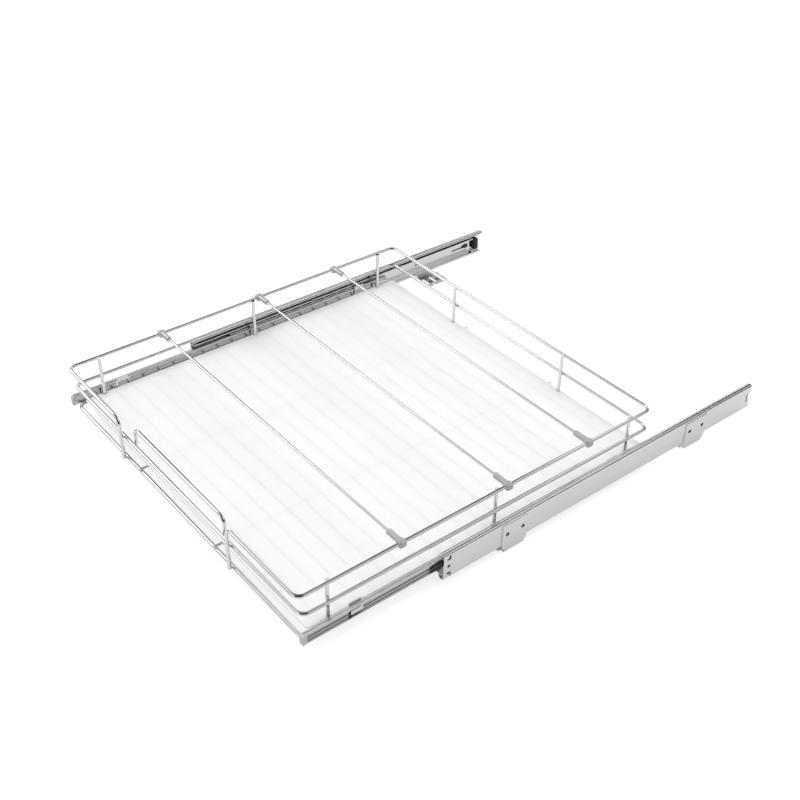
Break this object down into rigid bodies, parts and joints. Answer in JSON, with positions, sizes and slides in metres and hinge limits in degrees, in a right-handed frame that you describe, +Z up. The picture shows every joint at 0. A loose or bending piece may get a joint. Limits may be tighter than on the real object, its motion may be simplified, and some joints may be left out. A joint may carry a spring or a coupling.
{
  "type": "pull-out cabinet basket",
  "caption": "Chromed wire basket with sliding dividers and a mat, on full-extension ball slides with angle brackets that screw to a cabinet floor or its sides.",
  "frame": {"origin": "centre of the screw pattern of the four bracket feet, on the cabinet floor they stand on", "axes": "+X to the right of a person who pulls the basket, +Y into the cabinet along the slides, +Z up"},
  "size_m": [0.514, 0.6733, 0.0817],
  "materials": {
    "chrome_wire": "bright chrome plating on drawn wire",
    "zinc_steel": "bright zinc-plated cold-rolled strip",
    "ball_steel": "polished ball steel, lightly greased",
    "grey_plastic": "mid-grey moulded plastic, faint sheen",
    "pale_plastic": "light-grey moulded plastic",
    "mat_plastic": "frosted white ribbed sheet",
    "black_rubber": "black moulded rubber",
    "black_plastic": "black moulded plastic"
  },
  "bodies": {
    "cabinet_slides": {"left_cabinet_member": "zinc_steel", "left_front_bracket": "zinc_steel", "left_rear_bracket": "zinc_steel", "left_rear_bumper": "black_rubber", "right_cabinet_member": "zinc_steel", "right_front_bracket": "zinc_steel", "right_rear_bracket": "zinc_steel", "right_rear_bumper": "black_rubber"},
    "middle_slides": {"left_middle_member": "zinc_steel", "left_stop_block": "black_plastic", "right_middle_member": "zinc_steel", "right_stop_block": "black_plastic"},
    "outer_cages": {"left_outer_balls": "ball_steel", "left_outer_cage": "zinc_steel", "right_outer_balls": "ball_steel", "right_outer_cage": "zinc_steel"},
    "inner_cages": {"left_inner_balls": "ball_steel", "left_inner_cage": "zinc_steel", "right_inner_balls": "ball_steel", "right_inner_cage": "zinc_steel"},
    "basket": {"back_left_post": "chrome_wire", "back_right_post": "chrome_wire", "base_cross_wires": "chrome_wire", "base_long_wire_left": "chrome_wire", "base_long_wire_right": "chrome_wire", "base_mat": "mat_plastic", "base_rim": "chrome_wire", "grip_wire": "chrome_wire", "left_basket_hooks": "zinc_steel", "left_drawer_member": "zinc_steel", "left_end_cap": "pale_plastic", "left_front_post": "chrome_wire", "left_middle_post": "chrome_wire", "left_rear_post": "chrome_wire", "middle_rail": "chrome_wire", "right_basket_hooks": "zinc_steel", "right_drawer_member": "zinc_steel", "right_end_cap": "pale_plastic", "right_front_post": "chrome_wire", "right_middle_post": "chrome_wire", "right_rear_post": "chrome_wire", "top_rail": "chrome_wire"},
    "front_divider": {"front_divider_clip_left": "grey_plastic", "front_divider_clip_right": "grey_plastic", "front_divider_rod": "chrome_wire"},
    "middle_divider": {"middle_divider_clip_left": "grey_plastic", "middle_divider_clip_right": "grey_plastic", "middle_divider_rod": "chrome_wire"},
    "rear_divider": {"rear_divider_clip_left": "grey_plastic", "rear_divider_clip_right": "grey_plastic", "rear_divider_rod": "chrome_wire"}
  },
  "joints": [
    {"name": "middle_slide", "type": "slide", "parent": "cabinet_slides", "child": "middle_slides", "axis": [0, -1, 0], "range_m": [0, 0.25]},
    {"name": "basket_slide", "type": "slide", "parent": "middle_slides", "child": "basket", "axis": [0, -1, 0], "range_m": [-0.17, 0.08]},
    {"name": "outer_cage_roll", "type": "slide", "parent": "cabinet_slides", "child": "outer_cages", "axis": [0, -1, 0], "range_m": [0, 0.125]},
    {"name": "inner_cage_roll", "type": "slide", "parent": "middle_slides", "child": "inner_cages", "axis": [0, -1, 0], "range_m": [-0.085, 0.04]},
    {"name": "front_divider_slide", "type": "slide", "parent": "basket", "child": "front_divider", "axis": [0, 1, 0], "range_m": [-0.0803, 0.1242]},
    {"name": "middle_divider_slide", "type": "slide", "parent": "basket", "child": "middle_divider", "axis": [0, 1, 0], "range_m": [-0.0047, 0.045]},
    {"name": "rear_divider_slide", "type": "slide", "parent": "basket", "child": "rear_divider", "axis": [0, 1, 0], "range_m": [-0.045, 0.0638]}
  ],
  "couplings": [
    {"joint": "outer_cage_roll", "follows": "middle_slide", "ratio": 0.5},
    {"joint": "inner_cage_roll", "follows": "basket_slide", "ratio": 0.5}
  ]
}
